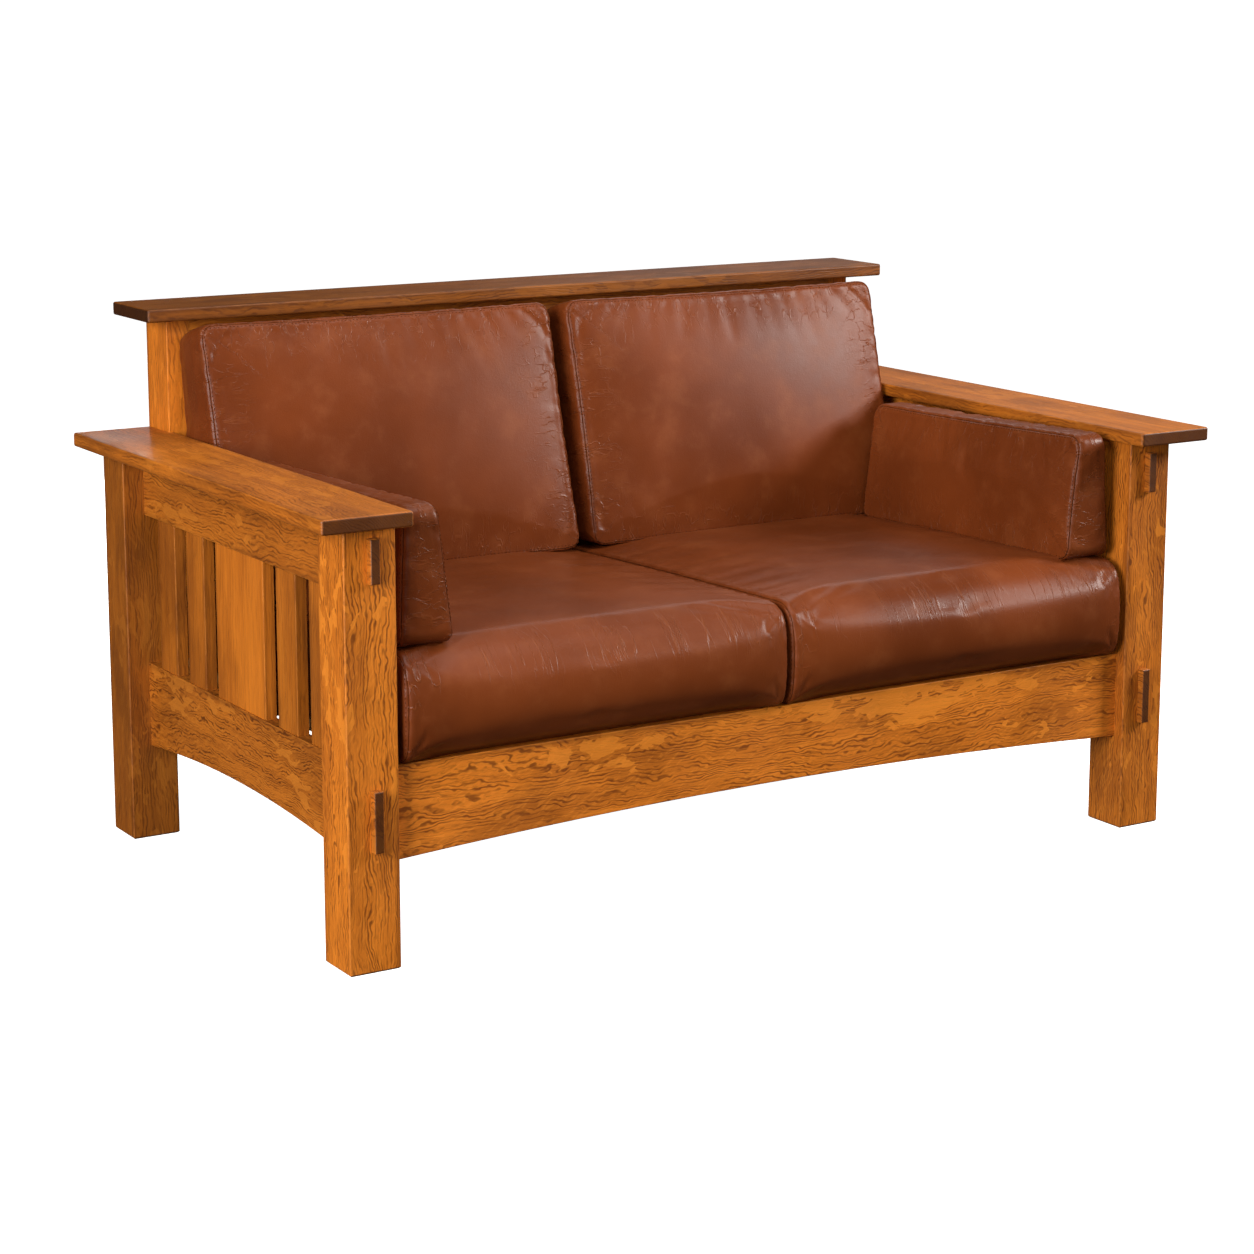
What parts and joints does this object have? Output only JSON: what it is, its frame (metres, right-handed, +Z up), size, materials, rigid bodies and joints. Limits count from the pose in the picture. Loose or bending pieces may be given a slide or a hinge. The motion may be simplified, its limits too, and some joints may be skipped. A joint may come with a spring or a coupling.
{
  "type": "mission settle",
  "caption": "Arts and Crafts oak settle for two with slatted sides and back, flat arms, a board crest, arched rails and loose leather seat, back and arm cushions",
  "frame": {"origin": "on the floor under the middle of the settle's bounding box", "axes": "+X across the settle to the right as seen from the front, +Y to the back, +Z up"},
  "size_m": [1.532, 0.898, 0.836],
  "materials": {
    "oak": "satin stained quartersawn oak",
    "plain_wood": "plain sawn wood",
    "leather": "smooth semi-gloss",
    "steel": "zinc plated"
  },
  "bodies": {
    "frame": {"arm_board_left": "oak", "arm_board_right": "oak", "arm_dowels": "plain_wood", "back_frame_bolts": "steel", "back_frame_washers": "steel", "back_leg_left": "oak", "back_leg_right": "oak", "back_lower_rail": "oak", "back_slat_1": "oak", "back_slat_2": "oak", "back_slat_3": "oak", "back_slat_4": "oak", "back_slat_5": "oak", "back_slat_6": "oak", "back_slat_7": "oak", "back_slat_8": "oak", "back_slat_9": "oak", "back_stile_left": "oak", "back_stile_right": "oak", "back_top_rail": "oak", "cleat_screws": "steel", "crest_board": "oak", "crest_dowels": "plain_wood", "deck_screws": "steel", "deck_slat_1": "plain_wood", "deck_slat_2": "plain_wood", "deck_slat_3": "plain_wood", "deck_slat_4": "plain_wood", "deck_slat_5": "plain_wood", "deck_slat_6": "plain_wood", "deck_slat_7": "plain_wood", "front_deck_cleat": "plain_wood", "front_leg_left": "oak", "front_leg_right": "oak", "front_seat_rail": "oak", "lower_side_rail_left": "oak", "lower_side_rail_right": "oak", "rear_deck_cleat": "plain_wood", "rear_seat_rail": "oak", "side_slat_left_1": "oak", "side_slat_left_2": "oak", "side_slat_left_3": "oak", "side_slat_left_4": "oak", "side_slat_right_1": "oak", "side_slat_right_2": "oak", "side_slat_right_3": "oak", "side_slat_right_4": "oak", "upper_side_rail_left": "oak", "upper_side_rail_right": "oak", "wide_side_slat_left": "oak", "wide_side_slat_right": "oak"},
    "seat_cushion_left": {"seat_cushion_left": "leather"},
    "seat_cushion_right": {"seat_cushion_right": "leather"},
    "back_cushion_left": {"back_cushion_left": "leather"},
    "back_cushion_right": {"back_cushion_right": "leather"},
    "arm_pillow_left": {"arm_pillow_left": "leather"},
    "arm_pillow_right": {"arm_pillow_right": "leather"}
  },
  "joints": [
    {"name": "seat_cushion_left_slide", "type": "slide", "parent": "frame", "child": "seat_cushion_left", "axis": [0, -1, 0], "range_m": [0, 0.8]},
    {"name": "back_cushion_left_slide", "type": "slide", "parent": "frame", "child": "back_cushion_left", "axis": [0, -0.9982, 0.0599], "range_m": [0, 0.8]},
    {"name": "arm_pillow_left_lift", "type": "slide", "parent": "back_cushion_left", "child": "arm_pillow_left", "axis": [0, 0, 1], "range_m": [0, 0.4]},
    {"name": "seat_cushion_right_slide", "type": "slide", "parent": "frame", "child": "seat_cushion_right", "axis": [0, -1, 0], "range_m": [0, 0.8]},
    {"name": "back_cushion_right_slide", "type": "slide", "parent": "frame", "child": "back_cushion_right", "axis": [0, -0.9982, 0.0599], "range_m": [0, 0.8]},
    {"name": "arm_pillow_right_lift", "type": "slide", "parent": "back_cushion_right", "child": "arm_pillow_right", "axis": [0, 0, 1], "range_m": [0, 0.4]}
  ]
}
